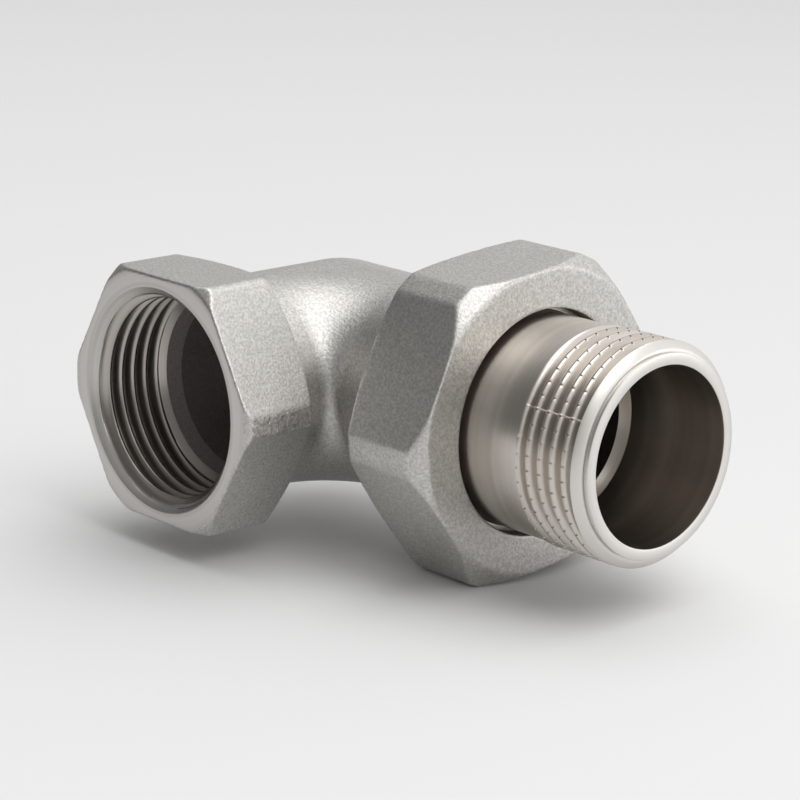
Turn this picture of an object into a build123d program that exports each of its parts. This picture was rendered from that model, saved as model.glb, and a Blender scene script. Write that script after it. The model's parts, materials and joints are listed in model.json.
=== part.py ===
# Union elbow for 1 inch pipe: cast elbow with a female thread, hexagonal union nut, turned male
# tailpiece and flat seal. Millimetres, +Z up. The two pipe axes cross in a level plane, the female
# end faces -Y and the male end faces +X. Each piece is drawn about the crossing of the axes, and
# main sets the whole down with the bottom centre of its bounding box at the origin.

import os
from math import sqrt

from build123d import *

# Threads, drawn as plain cylinders
male_thread_radius = 16.62
female_thread_radius = 15.15
union_thread_radius = 20.2
union_thread_clearance = 0.08

# Tube and ball corner of the cast elbow
tube_radius = 16.5
bore_radius = 13.0
crotch_radius = 2.5
corner_step = 0.03

# Female end of the cast elbow
mouth_distance = 36.5
hex_width = 38.1
hex_corner_reach = (21.15, 21.65, 21.85, 21.15, 21.65, 21.85)
hex_length = 13.4
hex_mouth_radius = 20.4
hex_mouth_chamfer = 1.5
hex_back_chamfer = 1.5
hex_root_fillet = 1.2
mouth_sink_radius = 17.2
mouth_sink_depth = 2.6
female_thread_depth = 12.6
female_shoulder_depth = 14.8

# Union end of the cast elbow
neck_end = 28.6
union_face = 36.4
union_face_chamfer = 0.8

# Union nut
nut_width = 46.0
nut_corner_reach = (25.45, 25.45, 25.45, 25.45, 26.1, 25.8)
nut_back = 29.2
nut_front = 45.1
nut_clock_angle = 5.5
nut_face_radius = 23.3
nut_front_chamfer = 3.0
nut_back_chamfer = 1.6
nut_hole_radius = 17.3
nut_hole_chamfer = 0.3
nut_lip = 3.1
nut_entry_chamfer = 0.8
nut_relief_start = 37.4
nut_relief_radius = 20.9

# Seal
seal_thickness = 2.0
seal_radius = 19.0
seal_hole_radius = 13.2

# Male tailpiece
collar_radius = 19.3
collar_chamfer = 0.4
stem_radius = 16.3
thread_start = 55.2
thread_end = 66.6
lead_end = 67.8
lead_radius = 15.3
pilot_radius = 15.1
tail_end = 68.5
tail_edge_chamfer = 0.25
tail_bore_radius = 13.35
tail_bore_end = 50.3
tail_cone_length = 1.3
tail_throat_radius = 12.0

# A cutter runs this far past the face that it opens, and an envelope this far past a corner
overshoot = 1.0

# Places that follow from the sizes above
hex_back = mouth_distance - hex_length
neck_start = tube_radius + crotch_radius
seal_front = union_face + seal_thickness
lip_face = nut_front - nut_lip


def turned(profile):
    # Solid of revolution about X from a closed outline of (x, radius) points
    return revolve(make_face(Polyline(*profile, close=True)), Axis.X)


def facing_female(solid):
    # Swings a solid drawn along +X round to the female end
    return solid.rotate(Axis.Z, -90)


def hexagon_bar(width, corner_reach, length):
    # Hexagonal bar along X with flats top and bottom. Each corner is cut to a narrow facet at its own
    # reach from the axis, the way flash and edges are ground off a casting, from +Y round towards +Z.
    section = RegularPolygon(width / 2, 6, major_radius=False)
    for corner, reach in enumerate(corner_reach):
        inside = Rectangle(2 * width, 2 * width, align=(Align.MAX, Align.CENTER))
        section &= Rot(0, 0, 60 * corner) * Pos(reach, 0, 0) * inside
    return extrude(Plane.YZ * section, length)


def turned_hexagon(width, corner_reach, back, front, back_chamfer, front_chamfer, front_radius):
    # Hexagon from x = back to x = front, turned to a cone at both ends so that its flats end in arcs.
    # A chamfer is measured along X from the end face to where its cone would meet the sharp corner.
    corner = width / sqrt(3)
    back_slope = back_chamfer / (corner - width / 2)
    front_slope = front_chamfer / (corner - front_radius)
    rim = corner + overshoot
    envelope = turned([
        (back, 0),
        (back, width / 2),
        (back + back_slope * (rim - width / 2), rim),
        (front - front_slope * (rim - front_radius), rim),
        (front, front_radius),
        (front, 0),
    ])
    bar = Pos(back, 0, 0) * hexagon_bar(width, corner_reach, front - back)
    return bar & envelope


def elbow_tube():
    # Two equal tubes that meet in a ball, with a short bend to round the crotch between them.
    # The ball stands a hair proud of the tubes and the bend a hair below them, so they never coincide.
    from_crossing = (Align.CENTER, Align.CENTER, Align.MIN)
    union_arm = Rot(0, 90, 0) * Cylinder(tube_radius, neck_start, align=from_crossing)
    female_arm = Rot(90, 0, 0) * Cylinder(tube_radius, hex_back + overshoot, align=from_crossing)
    ball = Sphere(tube_radius + corner_step)
    ring = Torus(neck_start, tube_radius - corner_step)
    quarter = Box(neck_start, neck_start, 3 * tube_radius, align=(Align.MAX, Align.MIN, Align.CENTER))
    bend = Pos(neck_start, -neck_start, 0) * (ring & quarter)
    return union_arm + female_arm + ball + bend


def neck():
    # Flare from the tube to the spigot that carries the nut's thread, and the spigot's chamfered face
    flare = TangentArc((neck_start, tube_radius), (neck_end, union_thread_radius), tangent=(1, 0))
    spigot = Polyline(
        (neck_end, union_thread_radius),
        (union_face - union_face_chamfer, union_thread_radius),
        (union_face, union_thread_radius - union_face_chamfer),
        (union_face, 0),
        (neck_start, 0),
        (neck_start, tube_radius),
    )
    return revolve(make_face(flare + spigot), Axis.X)


def female_hexagon():
    return facing_female(turned_hexagon(
        hex_width, hex_corner_reach, hex_back, mouth_distance,
        hex_back_chamfer, hex_mouth_chamfer, hex_mouth_radius,
    ))


def elbow_passage():
    # Cored passage round the corner, with the countersunk and bored female end
    female_bore = facing_female(turned([
        (0, 0),
        (0, bore_radius),
        (mouth_distance - female_shoulder_depth, bore_radius),
        (mouth_distance - female_thread_depth, female_thread_radius),
        (mouth_distance - mouth_sink_depth, female_thread_radius),
        (mouth_distance, mouth_sink_radius),
        (mouth_distance + overshoot, mouth_sink_radius),
        (mouth_distance + overshoot, 0),
    ]))
    union_end = union_face + overshoot
    union_bore = turned([(0, 0), (0, bore_radius), (union_end, bore_radius), (union_end, 0)])
    return female_bore + union_bore + Sphere(bore_radius)


def elbow_body():
    # The casting: tube, neck and hexagon in one, filleted where the hexagon's back meets the tube
    casting = elbow_tube() + neck() + female_hexagon()
    back_edges = casting.edges().filter_by(GeomType.CIRCLE).filter_by_position(
        Axis.Y, -hex_back, -hex_back
    )
    root = back_edges.sort_by(lambda edge: edge.radius)[0]
    return fillet(root, hex_root_fillet) - elbow_passage()


def union_nut():
    # Hexagon nut that screws on the neck and draws the tailpiece's collar in with its front lip
    hexagon = turned_hexagon(
        nut_width, nut_corner_reach, nut_back, nut_front,
        nut_back_chamfer, nut_front_chamfer, nut_face_radius,
    )
    thread_radius = union_thread_radius + union_thread_clearance
    mouth_radius = nut_hole_radius + nut_hole_chamfer
    hollow = turned([
        (nut_back - overshoot, 0),
        (nut_back - overshoot, thread_radius + nut_entry_chamfer + overshoot),
        (nut_back + nut_entry_chamfer, thread_radius),
        (nut_relief_start, thread_radius),
        (nut_relief_start, nut_relief_radius),
        (lip_face, nut_relief_radius),
        (lip_face, nut_hole_radius),
        (nut_front - nut_hole_chamfer, nut_hole_radius),
        (nut_front, mouth_radius),
        (nut_front + overshoot, mouth_radius),
        (nut_front + overshoot, 0),
    ])
    return (hexagon - hollow).rotate(Axis.X, nut_clock_angle)


def tailpiece():
    # Turned tube: collar behind the nut's lip, plain stem, male thread, pilot and a stepped bore
    return turned([
        (seal_front, tail_throat_radius),
        (seal_front, collar_radius - collar_chamfer),
        (seal_front + collar_chamfer, collar_radius),
        (lip_face - collar_chamfer, collar_radius),
        (lip_face, collar_radius - collar_chamfer),
        (lip_face, stem_radius),
        (thread_start, stem_radius),
        (thread_start + male_thread_radius - stem_radius, male_thread_radius),
        (thread_end, male_thread_radius),
        (lead_end, lead_radius),
        (lead_end, pilot_radius),
        (tail_end - tail_edge_chamfer, pilot_radius),
        (tail_end, pilot_radius - tail_edge_chamfer),
        (tail_end, tail_bore_radius),
        (tail_bore_end, tail_bore_radius),
        (tail_bore_end - tail_cone_length, tail_throat_radius),
    ])


def seal_washer():
    # Flat ring squeezed between the elbow's spigot and the tailpiece's collar
    return turned([
        (union_face, seal_hole_radius),
        (union_face, seal_radius),
        (seal_front, seal_radius),
        (seal_front, seal_hole_radius),
    ])


def main():
    os.makedirs("parts", exist_ok=True)
    pieces = {
        "elbow_body": elbow_body(),
        "union_nut": union_nut(),
        "tailpiece": tailpiece(),
        "seal_washer": seal_washer(),
    }
    boxes = [piece.bounding_box() for piece in pieces.values()]
    left = min(box.min.X for box in boxes)
    right = max(box.max.X for box in boxes)
    front = min(box.min.Y for box in boxes)
    back = max(box.max.Y for box in boxes)
    bottom = min(box.min.Z for box in boxes)
    crossing = Vector(-(left + right) / 2, -(front + back) / 2, -bottom)
    for name, piece in pieces.items():
        export_step(Pos(crossing) * piece, f"parts/{name}.step")
    print("crossing of the axes at", crossing)


main()
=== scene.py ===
import json
import math

import bmesh
import bpy
import numpy as np
from mathutils import Matrix, Vector


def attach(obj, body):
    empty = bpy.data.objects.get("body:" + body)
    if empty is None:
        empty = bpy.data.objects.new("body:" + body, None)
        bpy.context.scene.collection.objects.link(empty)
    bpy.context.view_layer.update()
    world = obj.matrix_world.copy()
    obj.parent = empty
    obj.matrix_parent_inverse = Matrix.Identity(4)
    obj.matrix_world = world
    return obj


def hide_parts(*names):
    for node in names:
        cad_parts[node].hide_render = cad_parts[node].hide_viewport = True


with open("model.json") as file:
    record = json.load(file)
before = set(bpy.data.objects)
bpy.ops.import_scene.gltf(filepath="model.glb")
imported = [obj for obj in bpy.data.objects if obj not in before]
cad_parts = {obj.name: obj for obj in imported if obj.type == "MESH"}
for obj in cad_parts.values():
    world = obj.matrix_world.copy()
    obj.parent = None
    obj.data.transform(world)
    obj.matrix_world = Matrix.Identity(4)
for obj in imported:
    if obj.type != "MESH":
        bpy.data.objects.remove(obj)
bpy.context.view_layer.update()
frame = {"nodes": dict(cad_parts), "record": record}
mm = 0.001

# The two pipe axes cross here: one mount lies on each axis
mounts = {mount["name"]: Vector(mount["pos_m"]) for mount in frame["record"]["mounts"]}
crossing = Vector((mounts["female_thread"].x, mounts["male_thread"].y, mounts["male_thread"].z))


# Colour and node helpers

def hexColour(text):
    channels = [int(text[i:i + 2], 16) / 255 for i in (1, 3, 5)]
    linear = [c / 12.92 if c <= 0.04045 else ((c + 0.055) / 1.055) ** 2.4 for c in channels]
    return (*linear, 1.0)


# Settings and links name a socket by its label or its number, and a setting may also be a property
def addNode(tree, kind, settings=None, links=None):
    node = tree.nodes.new(kind)
    for name, value in (settings or {}).items():
        if isinstance(name, int) or name in node.inputs:
            node.inputs[name].default_value = value
        else:
            setattr(node, name, value)
    for socket, source in (links or {}).items():
        tree.links.new(source, node.inputs[socket])
    return node


def newMaterial(name):
    material = bpy.data.materials.new(name)
    material.use_nodes = True
    tree = material.node_tree
    tree.nodes.clear()
    output = addNode(tree, "ShaderNodeOutputMaterial")
    return material, tree, output


# Two tones of a metal, spread by a pattern from 0 to 1
def tinted(tree, pattern, dark, light, low=0.35, high=0.65):
    ramp = addNode(tree, "ShaderNodeValToRGB", links={"Fac": pattern})
    ramp.color_ramp.elements[0].position, ramp.color_ramp.elements[0].color = low, hexColour(dark)
    ramp.color_ramp.elements[1].position, ramp.color_ramp.elements[1].color = high, hexColour(light)
    return ramp.outputs["Color"]


# Materials

castValues = {
    "light": "#D2D0CC",
    "dark": "#B4B2AE",
    "metallic": 1.0,
    "roughness": 0.44,
    "gritMm": 0.40,        # shot marks, drawn a little coarse so that they show
    "gritDepthMm": 0.055,
    "waveMm": 5.0,         # broad waves of the casting skin
    "waveDepthMm": 0.05,
}
flashValues = {
    "light": "#E6E4E0",
    "dark": "#B2AFAB",
    "metallic": 1.0,
    "roughness": 0.40,
    "gritMm": 0.62,        # torn metal where the flash was broken off the corner
    "gritDepthMm": 0.11,
    "waveMm": 2.0,
    "waveDepthMm": 0.10,
}
# Dark casting skin, also used as painted shade: it darkens the elbow's passage beyond its own skin tone, and
# the bored wall of the nut's hole, where there is only shade
skinAndShadeValues = {
    "light": "#857C79",
    "dark": "#756D6A",
    "metallic": 0.3,       # scale from the mould, where the shot never reached, and painted shade
    "roughness": 0.62,
    "gritMm": 0.40,
    "gritDepthMm": 0.05,
    "waveMm": 3.0,
    "waveDepthMm": 0.10,
}


# Investment cast stainless steel, shot blasted: an even matt grey with a fine bright grain
def blastedCasting(name, values):
    material, tree, output = newMaterial(name)
    place = addNode(tree, "ShaderNodeTexCoord").outputs["Object"]
    grit = addNode(tree, "ShaderNodeTexNoise",
                   {"Scale": 1000 / values["gritMm"], "Detail": 2.0, "Roughness": 0.6}, {"Vector": place})
    wave = addNode(tree, "ShaderNodeTexNoise",
                   {"Scale": 1000 / values["waveMm"], "Detail": 2.0}, {"Vector": place})
    skin = addNode(tree, "ShaderNodeBump", {"Strength": 1.0, "Distance": values["waveDepthMm"] * mm},
                   {"Height": wave.outputs["Fac"]})
    bump = addNode(tree, "ShaderNodeBump", {"Strength": 1.0, "Distance": values["gritDepthMm"] * mm},
                   {"Height": grit.outputs["Fac"], "Normal": skin.outputs["Normal"]})
    steel = addNode(tree, "ShaderNodeBsdfPrincipled",
                    {"Metallic": values["metallic"], "Roughness": values["roughness"]},
                    {"Base Color": tinted(tree, grit.outputs["Fac"], values["dark"], values["light"]),
                     "Normal": bump.outputs["Normal"]})
    tree.links.new(steel.outputs["BSDF"], output.inputs["Surface"])
    return material


turnedValues = {
    "light": "#CEC8C1",
    "dark": "#C2BBB3",
    "roughness": 0.28,
    "ringMm": 0.25,        # feed marks of the lathe tool, drawn a little coarse so that they show
    "ringDepthMm": 0.004,
    "bandMm": 2.2,         # slow change of finish along the cut
}
facedValues = {
    "light": "#C9C6C2",
    "dark": "#BEBBB6",
    "roughness": 0.38,
    "ringMm": 0.30,
    "ringDepthMm": 0.006,
    "bandMm": 1.6,
}
endValues = {
    "light": "#DEDBD7",
    "dark": "#D4D1CC",
    "roughness": 0.40,
    "ringMm": 0.30,
    "ringDepthMm": 0.006,
    "bandMm": 1.6,
}
# Bored tone, darker than the turned outside: painted shade inside the bores
boredShadedValues = {
    "light": "#A39C95",
    "dark": "#9A938C",
    "roughness": 0.30,
    "ringMm": 0.30,
    "ringDepthMm": 0.006,
    "bandMm": 2.6,
}
# Tapped tone, darker than the turned outside: painted shade in the grooves of the female thread
tappedShadedValues = {
    "light": "#B3ADA7",
    "dark": "#A39D97",
    "roughness": 0.28,
    "ringMm": 0.30,
    "ringDepthMm": 0.004,
    "bandMm": 2.6,
}


# Stainless steel turned on a lathe about one of the pipe axes: satin, with fine rings that draw its
# highlights out across the cut
def turnedSteel(name, values, axis):
    material, tree, output = newMaterial(name)
    place = addNode(tree, "ShaderNodeTexCoord").outputs["Object"]
    fromCrossing = addNode(tree, "ShaderNodeVectorMath", {"operation": "SUBTRACT", 1: crossing}, {0: place})
    along = addNode(tree, "ShaderNodeVectorMath", {"operation": "DOT_PRODUCT", 1: axis},
                    {0: fromCrossing.outputs["Vector"]})
    across = addNode(tree, "ShaderNodeVectorMath", {"operation": "MULTIPLY", 1: [1 - abs(a) for a in axis]},
                     {0: fromCrossing.outputs["Vector"]})
    radius = addNode(tree, "ShaderNodeVectorMath", {"operation": "LENGTH"}, {0: across.outputs["Vector"]})
    path = addNode(tree, "ShaderNodeMath", {"operation": "ADD"},
                   {0: along.outputs["Value"], 1: radius.outputs["Value"]}).outputs["Value"]
    rings = addNode(tree, "ShaderNodeTexNoise",
                    {"noise_dimensions": "1D", "Scale": 1000 / values["ringMm"], "Detail": 3.0}, {"W": path})
    bands = addNode(tree, "ShaderNodeTexNoise",
                    {"noise_dimensions": "1D", "Scale": 1000 / values["bandMm"], "Detail": 3.0}, {"W": path})
    bump = addNode(tree, "ShaderNodeBump", {"Strength": 1.0, "Distance": values["ringDepthMm"] * mm},
                   {"Height": rings.outputs["Fac"]})
    steel = addNode(tree, "ShaderNodeBsdfPrincipled", {"Metallic": 1.0, "Roughness": values["roughness"]},
                    {"Base Color": tinted(tree, bands.outputs["Fac"], values["dark"], values["light"]),
                     "Normal": bump.outputs["Normal"]})
    tree.links.new(steel.outputs["BSDF"], output.inputs["Surface"])
    return material


sealValues = {"light": "#F0F0EC", "dark": "#E6E6E0", "mottleMm": 1.5, "roughness": 0.4}


# Flat ring cut from fluoroplastic sheet: white, waxy and faintly mottled
def whiteFluoroplastic(name, values):
    material, tree, output = newMaterial(name)
    place = addNode(tree, "ShaderNodeTexCoord").outputs["Object"]
    mottle = addNode(tree, "ShaderNodeTexNoise", {"Scale": 1000 / values["mottleMm"]}, {"Vector": place})
    plastic = addNode(tree, "ShaderNodeBsdfPrincipled", {"Roughness": values["roughness"]},
                      {"Base Color": tinted(tree, mottle.outputs["Fac"], values["dark"], values["light"])})
    tree.links.new(plastic.outputs["BSDF"], output.inputs["Surface"])
    return material


unionAxis = (1, 0, 0)
femaleAxis = (0, -1, 0)
castSteel = blastedCasting("blastedStainlessCasting", castValues)
brokenFlash = blastedCasting("brokenFlashStainless", flashValues)
castSkinAndShade = blastedCasting("castSkinPaintedShade", skinAndShadeValues)
stemSteel = turnedSteel("turnedStainless", turnedValues, unionAxis)
endSteel = turnedSteel("facedStainlessEnd", endValues, unionAxis)
boreShadedSteel = turnedSteel("boredStainlessPaintedShade", boredShadedValues, unionAxis)
mouthSteel = turnedSteel("facedStainlessMouth", facedValues, femaleAxis)
tappedShadedSteel = turnedSteel("tappedStainlessPaintedShade", tappedShadedValues, femaleAxis)
sealPlastic = whiteFluoroplastic("whiteFluoroplastic", sealValues)
print("materials made")


# Each pipe axis is the X axis of its own frame: the female one points to -Y, and its local Y is +X
toUnion = Matrix.Translation(crossing)
toFemale = Matrix.Translation(crossing) @ Matrix.Rotation(math.radians(-90), 4, "Z")


# Along an axis and away from it, in millimetres
def alongAndOut(point, placing):
    local = placing.inverted() @ point
    return local.x / mm, math.hypot(local.y, local.z) / mm


# Mesh helpers

def finishPiece(mesh, name, body, node):
    piece = bpy.data.objects.new(name, mesh)
    bpy.context.scene.collection.objects.link(piece)
    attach(piece, body)
    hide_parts(node)
    return piece


# A CAD node's mesh without the faces that something replaces
def keptMesh(nodeName, unwanted):
    work = bmesh.new()
    work.from_mesh(frame["nodes"][nodeName].data)
    bmesh.ops.remove_doubles(work, verts=work.verts, dist=0.0005 * mm)
    bmesh.ops.delete(work, geom=[face for face in work.faces if unwanted(face)], context="FACES")
    return work


# Every corner of a face lies within a radius of an axis
def within(face, placing, radius):
    return all(alongAndOut(vert.co, placing)[1] < radius for vert in face.verts)


# Faces between neighbouring columns of corners; a closed column also joins its last row to its first
def addFaces(work, grid, closed):
    count = len(grid[0])
    for left, right in zip(grid, grid[1:]):
        for k in range(count if closed else count - 1):
            corners = [left[k], left[(k + 1) % count], right[(k + 1) % count], right[k]]
            corners = list(dict.fromkeys(corners))
            if len(corners) > 2:
                work.faces.new(corners)


def addCorner(work, x, r, angle, placing):
    local = Vector((x, r * math.cos(angle), r * math.sin(angle))) * mm
    return work.verts.new(placing @ local)


# The corners of an open rim near a place on an axis, each with its angle round the axis and in that order
def openRims(work, place, radius, placing):
    loose = set()
    for edge in work.edges:
        x, r = alongAndOut(edge.verts[0].co, placing)
        if edge.is_boundary and abs(x - place) < 0.1 and abs(r - radius) < 0.12:
            loose.add(edge)
    rims = []
    while loose:
        rim = set(loose.pop().verts)
        waiting = list(rim)
        while waiting:
            for edge in waiting.pop().link_edges:
                if edge in loose:
                    loose.remove(edge)
                    waiting += [vert for vert in edge.verts if vert not in rim]
                    rim.update(edge.verts)
        corners = []
        for vert in rim:
            local = placing.inverted() @ vert.co
            corners.append((math.atan2(local.z, local.y), vert))
        rims.append(sorted(corners, key=lambda corner: corner[0]))
    return rims


# Joins two open rims by triangles that go round the axis with both of them
def joinRims(work, place, radius, placing):
    first, second = openRims(work, place, radius, placing)
    first.append((first[0][0] + math.tau, first[0][1]))
    second.append((second[0][0] + math.tau, second[0][1]))
    i = j = 0
    while i < len(first) - 1 or j < len(second) - 1:
        fromFirst = j == len(second) - 1 or (i < len(first) - 1 and first[i + 1][0] < second[j + 1][0])
        following = first[i + 1][1] if fromFirst else second[j + 1][1]
        work.faces.new((first[i][1], following, second[j][1]))
        if fromFirst:
            i += 1
        else:
            j += 1


# Points on the outside of a turned hexagon with all its edges rounded over, column by column. Each point
# is where a ray from a ring inside the metal leaves it; a soft maximum of the distances to the faces
# rounds the edges and never reaches past a face.
def hexagonColumns(shape):
    flat = shape["width"] / 2
    corner = shape["width"] / math.sqrt(3)
    backRise = corner - flat
    frontRise = corner - shape["faceRadius"]
    angles = np.arange(shape["columns"]) * math.tau / shape["columns"]
    coreX, coreR = shape["core"]
    fromBack = math.atan2(shape["backRim"] - coreR, shape["back"] - coreX)
    toFront = math.atan2(shape["frontRim"] - coreR, shape["front"] - coreX)
    spread = np.linspace(0, 1, shape["rows"])
    spread += 0.04 * np.sin(4 * math.pi * spread)   # closer together where the edges are
    rays = fromBack + (toFront - fromBack) * spread
    stepX, stepR = np.cos(rays)[None, :], np.sin(rays)[None, :]
    offsets, slopes = [], []
    for k in range(12):
        facing = np.cos(angles - math.radians(30 * k + shape["clock"]))[:, None]
        reach = flat if k % 2 else shape["cornerReach"][k // 2]
        offsets.append(coreR * facing - reach + 0 * stepR)
        slopes.append(facing * stepR)
    for alongX, outward, value in (
        (1, 0, coreX - shape["front"]),
        (-1, 0, shape["back"] - coreX),
        (frontRise, shape["frontChamfer"],
         frontRise * (coreX - shape["front"]) + shape["frontChamfer"] * (coreR - shape["faceRadius"])),
        (-backRise, shape["backChamfer"],
         backRise * (shape["back"] - coreX) + shape["backChamfer"] * (coreR - flat)),
    ):
        length = math.hypot(alongX, outward)
        offsets.append(value / length + 0 * angles[:, None] * stepR)
        slopes.append((alongX * stepX + outward * stepR) / length + 0 * angles[:, None])
    offsets, slopes = np.array(offsets), np.array(slopes)
    along = np.full(offsets.shape[1:], 60.0)
    for _ in range(30):
        gaps = (offsets + slopes * along) / shape["edge"]
        highest = gaps.max(axis=0)
        shares = np.exp(gaps - highest)
        total = shares.sum(axis=0)
        along -= shape["edge"] * (highest + np.log(total)) / ((shares * slopes).sum(axis=0) / total)
    xs, rs = coreX + along * stepX, coreR + along * stepR
    columns = zip(angles.tolist(), xs.tolist(), rs.tolist())
    return [(angle, list(zip(xRow, rRow))) for angle, xRow, rRow in columns]


# Threads

threadValues = {
    "pitch": 2.309,        # 11 threads to the inch
    "rowsPerTurn": 18,
    "crestHalf": 0.07,     # half width of the flat left on the rounded crest, as part of the pitch
}


# How far a point lies down the flank, from 0 on the crest to 1 in the root, both a little rounded
def flankShare(turnsFromCrest, values):
    away = abs((turnsFromCrest + 0.5) % 1.0 - 0.5)
    share = max(away - values["crestHalf"], 0) / (0.5 - values["crestHalf"])
    return 0.5 * share + 0.25 * (1 - math.cos(math.pi * share))


# A surface turned about an axis, with a thread part of the way. Its rows are rings about the axis, but
# the thread's rows follow the helix, and wait at its two ends until their turn begins.
def threadedLathe(before, after, start, end, crest, columns, radiusAt, placing, closed, values):
    pitch = values["pitch"]
    perTurn = values["rowsPerTurn"]
    first = math.floor((start - crest) / pitch) - 1
    last = math.ceil((end - crest) / pitch)
    steps = [first + k / perTurn for k in range((last - first) * perTurn + 1)]
    work = bmesh.new()
    grid = []
    for angle in columns:
        rows = list(before)
        for step in steps:
            turns = angle / math.tau + step
            x = min(max(crest + pitch * turns, start), end)
            rows.append((x, radiusAt(x, angle)))
        rows += after
        grid.append([addCorner(work, x, r, angle, placing) for x, r in rows])
    # Going once round brings a thread row to the place of the row one turn on
    opening = grid[0][:len(before)]
    turned = grid[0][len(before):len(before) + len(steps)]
    turned = turned[perTurn:] + [turned[-1]] * perTurn
    grid.append(opening + turned + grid[0][len(before) + len(steps):])
    addFaces(work, grid, closed)
    bmesh.ops.remove_doubles(work, verts=work.verts, dist=0.0005 * mm)
    bmesh.ops.dissolve_degenerate(work, edges=work.edges, dist=0.0005 * mm)
    return work


# Tailpiece: turned tube with a knurled male thread

tailValues = {
    "sealFace": 38.4,
    "lipFace": 42.0,       # the nut's lip bears on the collar here
    "throatRadius": 12.0,
    "collarRadius": 19.3,
    "stemRadius": 16.3,
    "threadStart": 55.2,
    "threadEnd": 66.6,
    "crestRadius": 16.62,
    "rootDepth": 1.45,
    "crestPhase": 60.22 - 2.309 * 160 / 360,   # a crest crosses the +Y side here
    "runOut": 1.3,         # the first groove deepens over this length
    "notches": 47,         # knurled nicks across the crests that hold sealing thread
    "notchWidth": 0.32,
    "notchDepth": 0.20,
    "firstNotch": 56.0,
    "notchPhase": 153.6,
    "seamAngle": 152.5,    # a fine burr along the thread
    "seamHeight": 0.10,
    "seamWidth": 0.16,
    "boreReach": 13.5,     # the bore lies within this radius, as far as the rounded edge of the end face
    "boreEnd": 68.4,
}


def tailColumns(values):
    period = math.tau / values["notches"]
    notch = values["notchWidth"] / values["crestRadius"]
    plain = [notch + (period - notch) * share for share in (0.2, 0.4, 0.6, 0.8)]
    stations = [0, notch / 3, notch * 2 / 3, notch] + plain
    start = math.radians(values["notchPhase"]) - notch / 2
    columns = [start + period * k + station for k in range(values["notches"]) for station in stations]
    seam = math.radians(values["seamAngle"])
    half = values["seamWidth"] / values["crestRadius"] / 2
    columns += [seam - half, seam, seam + half]
    return sorted(angle % math.tau for angle in columns)


def tailRadius(x, angle):
    values = tailValues
    turns = (x - values["crestPhase"]) / threadValues["pitch"] - angle / math.tau
    deepening = min(max((x - values["threadStart"] - 0.3) / values["runOut"], 0), 1)
    depth = values["rootDepth"] * flankShare(turns, threadValues) * deepening
    period = math.tau / values["notches"]
    notch = values["notchWidth"] / values["crestRadius"]
    into = (angle - math.radians(values["notchPhase"]) + notch / 2) % period
    if 0.1 * notch < into < 0.9 * notch and x > values["firstNotch"]:
        depth = max(depth, values["notchDepth"])
    fromSeam = abs(angle - math.radians(values["seamAngle"])) * values["crestRadius"]
    if fromSeam < values["seamWidth"] / 4:
        depth -= values["seamHeight"] * deepening
    return values["crestRadius"] - depth


def makeTailpiece():
    values = tailValues
    seal = values["sealFace"]
    lip = values["lipFace"]
    throat = values["throatRadius"]
    before = [
        (49.0, throat), (seal + 0.2, throat), (seal, throat + 0.2),
        (seal, values["collarRadius"] - 0.4), (seal + 0.4, values["collarRadius"]),
        (lip - 0.4, values["collarRadius"]), (lip, values["collarRadius"] - 0.4),
        (lip, values["stemRadius"] + 0.15), (lip + 0.15, values["stemRadius"]),
        (values["threadStart"], values["stemRadius"]),
        (values["threadStart"] + 0.06, values["stemRadius"] + 0.24),
    ]
    after = [
        (66.66, 16.60), (66.9, 16.44), (67.62, 15.58), (67.70, 15.44), (67.72, 14.95), (67.97, 14.95),
        (67.99, 15.08), (68.3, 15.1), (68.42, 15.06), (68.5, 14.9), (68.5, 13.5), (68.46, 13.4),
        (68.36, 13.36), (50.35, 13.35), (50.25, 13.3), (49.1, 12.1),
    ]
    work = threadedLathe(before, after, values["threadStart"] + 0.1, values["threadEnd"],
                         values["crestPhase"], tailColumns(values), tailRadius, toUnion, True, threadValues)
    bmesh.ops.recalc_face_normals(work, faces=work.faces)
    mesh = bpy.data.meshes.new("tail")
    work.to_mesh(mesh)
    work.free()
    mesh.shade_smooth()
    mesh.set_sharp_from_angle(angle=math.radians(28))
    for steel in (stemSteel, endSteel, boreShadedSteel):
        mesh.materials.append(steel)
    for face in mesh.polygons:
        x, r = alongAndOut(mesh.vertices[face.vertices[0]].co, toUnion)
        # The bore takes the darker bored tone, painted shade inside the tube
        if r < values["boreReach"] and x < values["boreEnd"]:
            face.material_index = 2
        elif x > values["threadEnd"]:
            face.material_index = 1
    return finishPiece(mesh, "tailTube", "tail", "tailpiece")


makeTailpiece()
print("tailpiece made")


# Union nut

nutValues = {
    "width": 46.0,
    "cornerReach": (25.45, 25.45, 25.45, 25.45, 26.1, 25.8),
    "clock": 5.5,
    "back": 29.2,
    "front": 45.1,
    "backChamfer": 1.6,
    "frontChamfer": 3.0,
    "faceRadius": 23.3,
    "backRim": 21.08,
    "frontRim": 17.3,
    "core": (37.0, 14.0),
    "edge": 0.13,          # the larger, the rounder its edges
    "columns": 480,
    "rows": 90,
    # Through the hole, past the collar's recess and along the thread
    "inside": [(45.02, 17.16), (44.9, 17.1), (42.0, 17.1), (42.0, 20.9), (37.4, 20.9), (37.4, 20.28),
               (30.0, 20.28)],
    "holeReach": 17.2,
    "machined": 21.2,      # the thread and the recess lie within this radius
    "machinedEnd": 42.1,
}


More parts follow.
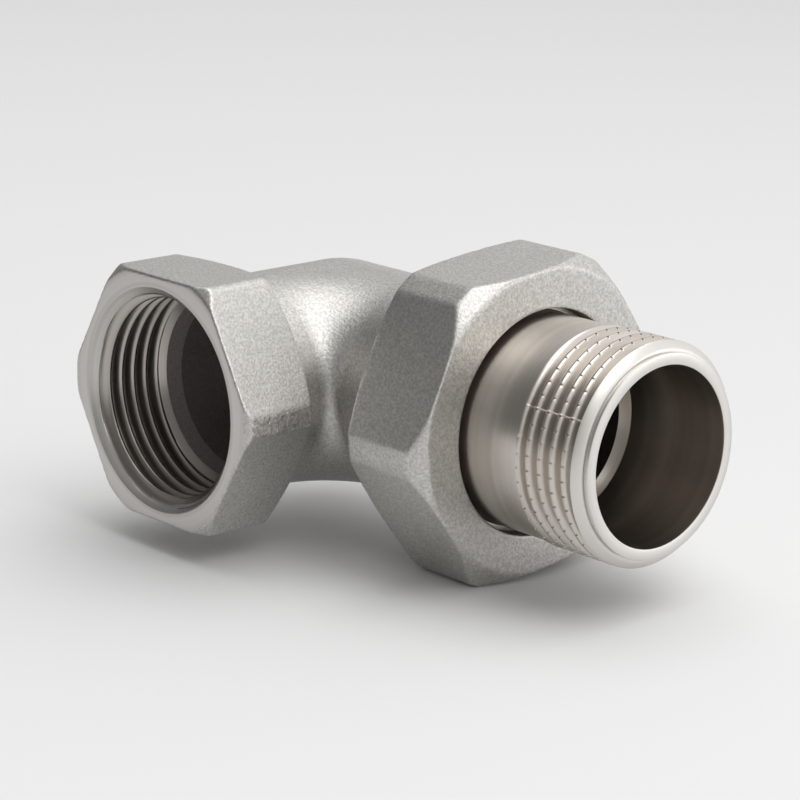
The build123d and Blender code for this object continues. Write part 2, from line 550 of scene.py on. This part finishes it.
def makeNut(values):
    work = bmesh.new()
    grid = []
    for angle, outside in hexagonColumns(values):
        grid.append([addCorner(work, x, r, angle, toUnion) for x, r in outside + values["inside"]])
    addFaces(work, grid + grid[:1], True)
    bmesh.ops.recalc_face_normals(work, faces=work.faces)
    for face in work.faces:
        x, r = alongAndOut(face.verts[0].co, toUnion)
        # The bored wall of the hole takes the dark skin material: painted shade in the narrow gap round the
        # tailpiece
        if within(face, toUnion, values["holeReach"]):
            face.material_index = 2
        elif x < values["machinedEnd"] and within(face, toUnion, values["machined"]):
            face.material_index = 1
    mesh = bpy.data.meshes.new("nut")
    work.to_mesh(mesh)
    work.free()
    mesh.shade_smooth()
    mesh.set_sharp_from_angle(angle=math.radians(38))
    for steel in (castSteel, boreShadedSteel, castSkinAndShade):
        mesh.materials.append(steel)
    return finishPiece(mesh, "unionNut", "nut", "union_nut")


makeNut(nutValues)
print("nut made")


# Cast elbow with its female thread

elbowValues = {
    "width": 38.1,
    "cornerReach": (21.15, 21.65, 21.85, 21.15, 21.65, 21.85),
    "clock": 0.0,
    "back": 23.1,
    "front": 36.5,
    "backChamfer": 1.5,
    "frontChamfer": 1.5,
    "faceRadius": 20.4,
    "backRim": 17.75,
    "frontRim": 17.2,
    "core": (29.8, 11.0),
    "edge": 0.10,
    "columns": 360,
    "rows": 96,
    "filletRim": 17.7,
    "hair": 0.05,
    "sinkSlope": 0.95,     # the countersink narrows this much for each millimetre in
    # Past this depth into the mouth the thread takes the darker tapped tone, painted shade
    "sinkDepth": 1.2,
    "rootRadius": 16.62,
    "crestDepth": 1.45,
    "crestPhase": 33.87 - 2.309 * 175.5 / 360,    # a crest crosses the local +Y side here
    "threadInner": 24.7,
    "shoulder": 24.6,
    "shoulderRadius": 15.2,
    "coreEnd": 23.75,      # the cored passage opens out to here
    "coreRadius": 14.15,
    "passage": 21.7,
    "passageRadius": 13.0,
    "coneReach": 15.6,     # behind the hexagon, the bore lies within this radius and the fillet outside it
    "skinAndShadeReach": 14.3,     # the casting's own skin inside, drawn dark as painted shade too, round the female and the union arm
    "unionSkinAndShadeReach": 13.1,
    "flashReach": 20.8,
    "passageSharp": 20,    # edges that turn by more degrees than this stay sharp, inside and elsewhere
    "outsideSharp": 60,
}


# The hexagon and the threaded bore are made anew below
def isFemaleEnd(face):
    values = elbowValues
    middleX, middleR = alongAndOut(face.calc_center_median(), toFemale)
    boreReach = values["frontRim"] if middleX > values["back"] else values["coneReach"]
    if values["passage"] - 0.01 < middleX < values["front"] - 0.01 and middleR < boreReach:
        return True
    for vert in face.verts:
        x, r = alongAndOut(vert.co, toFemale)
        if x < values["back"] - 0.01 or (r < values["filletRim"] - 0.02 and x < values["front"] - 0.01):
            return False
    return True


# The cored passage, with the skin that the casting came out with, drawn dark as painted shade deep inside
def isPassage(face):
    for vert in face.verts:
        x, r = alongAndOut(vert.co, toFemale)
        inFemaleArm = x > -0.1 and r < elbowValues["skinAndShadeReach"]
        x, r = alongAndOut(vert.co, toUnion)
        inUnionArm = x > -0.1 and r < elbowValues["unionSkinAndShadeReach"]
        if not (inFemaleArm or inUnionArm or math.hypot(x, r) < elbowValues["unionSkinAndShadeReach"]):
            return False
    return True


def femaleRadius(x, angle):
    values = elbowValues
    sink = values["frontRim"] - values["sinkSlope"] * (values["front"] - x)
    turns = (x - values["crestPhase"]) / threadValues["pitch"] - angle / math.tau
    thread = values["rootRadius"] - values["crestDepth"] * (1 - flankShare(turns, threadValues))
    return max(sink, thread)


def makeElbow():
    values = elbowValues
    work = keptMesh("elbow_body", isFemaleEnd)
    grid = []
    for angle, outside in hexagonColumns(values):
        grid.append([addCorner(work, x, r, angle, toFemale) for x, r in outside])
    addFaces(work, grid + grid[:1], False)
    # Rows a hair from the edges of the shoulder keep its rounded shading close to them
    hair = values["hair"]
    before = [
        (values["passage"] + hair, values["passageRadius"]), (values["coreEnd"], values["coreRadius"]),
        (values["coreEnd"] + hair, values["coreRadius"] + hair),
        (values["shoulder"] - hair, values["shoulderRadius"] - hair),
        (values["shoulder"], values["shoulderRadius"]),
    ]
    after = [(values["front"] - 0.03, values["frontRim"] - 0.02), (values["front"], values["frontRim"])]
    columns = [math.tau * k / values["columns"] for k in range(values["columns"])]
    bore = threadedLathe(before, after, values["threadInner"], values["front"] - 0.06, values["crestPhase"],
                         columns, femaleRadius, toFemale, False, threadValues)
    boreMesh = bpy.data.meshes.new("bore")
    bore.to_mesh(boreMesh)
    bore.free()
    work.from_mesh(boreMesh)
    joinRims(work, values["passage"], values["passageRadius"], toFemale)
    joinRims(work, values["back"], values["filletRim"], toFemale)
    bmesh.ops.remove_doubles(work, verts=work.verts, dist=0.002 * mm)
    bmesh.ops.recalc_face_normals(work, faces=work.faces)
    for face in work.faces:
        x, r = alongAndOut(face.calc_center_median(), toFemale)
        # The passage takes the dark skin material: its own skin and painted shade
        if isPassage(face):
            face.material_index = 3
        elif x > values["front"] - 0.02:
            face.material_index = 1
        # Faces deeper in take the darker tapped tone, painted shade inside the thread; the countersink and
        # the first turn keep the faced tone
        elif x > values["coreEnd"] and within(face, toFemale, values["frontRim"] + 0.01):
            innermost = min(alongAndOut(vert.co, toFemale)[0] for vert in face.verts)
            face.material_index = 2 if innermost < values["front"] - values["sinkDepth"] else 1
        elif r > values["flashReach"] and face.normal.x > 0.98:
            face.material_index = 4
    for face in work.faces:
        face.smooth = True
    for edge in work.edges:
        inPassage = any(face.material_index == 3 for face in edge.link_faces)
        limit = values["passageSharp"] if inPassage else values["outsideSharp"]
        edge.smooth = edge.calc_face_angle() < math.radians(limit)
    mesh = bpy.data.meshes.new("elbow")
    work.to_mesh(mesh)
    work.free()
    for steel in (castSteel, mouthSteel, tappedShadedSteel, castSkinAndShade, brokenFlash):
        mesh.materials.append(steel)
    piece = finishPiece(mesh, "elbowCasting", "elbow", "elbow_body")
    shade = piece.modifiers.new("evenShade", "WEIGHTED_NORMAL")
    shade.keep_sharp = True
    return piece


makeElbow()
print("elbow made")


# Seal

sealMesh = frame["nodes"]["seal_washer"].data
sealMesh.materials.clear()
sealMesh.materials.append(sealPlastic)
print("seal finished")


# Floor, light and camera

stageValues = {"half": 3.0, "colour": "#E6E6E6"}


def makeStage(values):
    mesh = bpy.data.meshes.new("floor")
    half = values["half"]
    corners = [(-half, -half, 0), (half, -half, 0), (half, half, 0), (-half, half, 0)]
    mesh.from_pydata(corners, [], [(0, 1, 2, 3)])
    floor = bpy.data.objects.new("floor", mesh)
    bpy.context.scene.collection.objects.link(floor)
    material, tree, output = newMaterial("paleFloor")
    paint = addNode(tree, "ShaderNodeBsdfDiffuse", {"Color": hexColour(values["colour"])})
    tree.links.new(paint.outputs["BSDF"], output.inputs["Surface"])
    mesh.materials.append(material)


worldValues = {
    "towards": (0.45, 0.62, 0.25),   # the brighter side of the room
    "dim": 0.17,
    "bright": 1.10,
    "from": -0.55,
    "to": 0.80,
}


def makeWorld(values):
    world = bpy.data.worlds.new("studio")
    world.use_nodes = True
    tree = world.node_tree
    tree.nodes.clear()
    way = addNode(tree, "ShaderNodeTexCoord").outputs["Generated"]
    facing = addNode(tree, "ShaderNodeVectorMath", {"operation": "DOT_PRODUCT", 1: Vector(values["towards"])},
                     {0: way})
    level = addNode(tree, "ShaderNodeMapRange",
                    {"interpolation_type": "SMOOTHSTEP", "From Min": values["from"], "From Max": values["to"],
                     "To Min": values["dim"], "To Max": values["bright"]}, {"Value": facing.outputs["Value"]})
    light = addNode(tree, "ShaderNodeBackground", {"Color": (1, 1, 1, 1)},
                    {"Strength": level.outputs["Result"]})
    output = addNode(tree, "ShaderNodeOutputWorld")
    tree.links.new(light.outputs["Background"], output.inputs["Surface"])
    bpy.context.scene.world = world


lightValues = {
    "key": {"from": (0.64, -0.07, 0.76), "distance": 0.7, "size": 0.4, "power": 0.85},
    "overhead": {"from": (0.0, 0.1, 1.0), "distance": 1.2, "size": 1.2, "power": 5.0},
    "side": {"from": (0.75, 0.64, 0.10), "distance": 0.8, "size": 0.5, "power": 0.7},
}


def makeLights(values):
    for name, lamp in values.items():
        light = bpy.data.lights.new(name, "AREA")
        light.shape = "DISK"
        light.size = lamp["size"]
        light.energy = lamp["power"]
        holder = bpy.data.objects.new(name, light)
        bpy.context.scene.collection.objects.link(holder)
        direction = Vector(lamp["from"]).normalized()
        holder.location = crossing + direction * lamp["distance"]
        holder.rotation_mode = "QUATERNION"
        holder.rotation_quaternion = direction.to_track_quat("Z", "Y")


cameraValues = {
    "azimuth": 47.204,
    "elevation": 15.306,
    "roll": 1.030,
    "distanceMm": 442.06,
    "lens": 125.59,
    "crossingPixel": (340.69, 362.24),  # where the crossing of the axes falls in the 800 x 800 picture
    "pictureWidth": 800,
}


def makeCamera(values):
    camera = bpy.data.cameras.new("camera")
    camera.sensor_width = 36
    camera.lens = values["lens"]
    holder = bpy.data.objects.new("camera", camera)
    bpy.context.scene.collection.objects.link(holder)
    azimuth, elevation, roll = (math.radians(values[name]) for name in ("azimuth", "elevation", "roll"))
    back = Vector((math.sin(azimuth) * math.cos(elevation), -math.cos(azimuth) * math.cos(elevation),
                   math.sin(elevation)))
    right = Vector((math.cos(azimuth), math.sin(azimuth), 0))
    up = back.cross(right)
    right, up = right * math.cos(roll) + up * math.sin(roll), up * math.cos(roll) - right * math.sin(roll)
    pixelsPerUnit = values["lens"] / camera.sensor_width * values["pictureWidth"]
    middle = values["pictureWidth"] / 2
    distance = values["distanceMm"] * mm
    shiftRight = (values["crossingPixel"][0] - middle) / pixelsPerUnit * distance
    shiftUp = (middle - values["crossingPixel"][1]) / pixelsPerUnit * distance
    holder.matrix_world = Matrix((right, up, back)).transposed().to_4x4()
    holder.location = crossing + back * distance - right * shiftRight - up * shiftUp
    camera.clip_start, camera.clip_end = 0.01, 20
    bpy.context.scene.camera = holder


makeStage(stageValues)
makeWorld(worldValues)
makeLights(lightValues)
makeCamera(cameraValues)
bpy.context.scene.view_settings.view_transform = "Standard"
print("stage set")
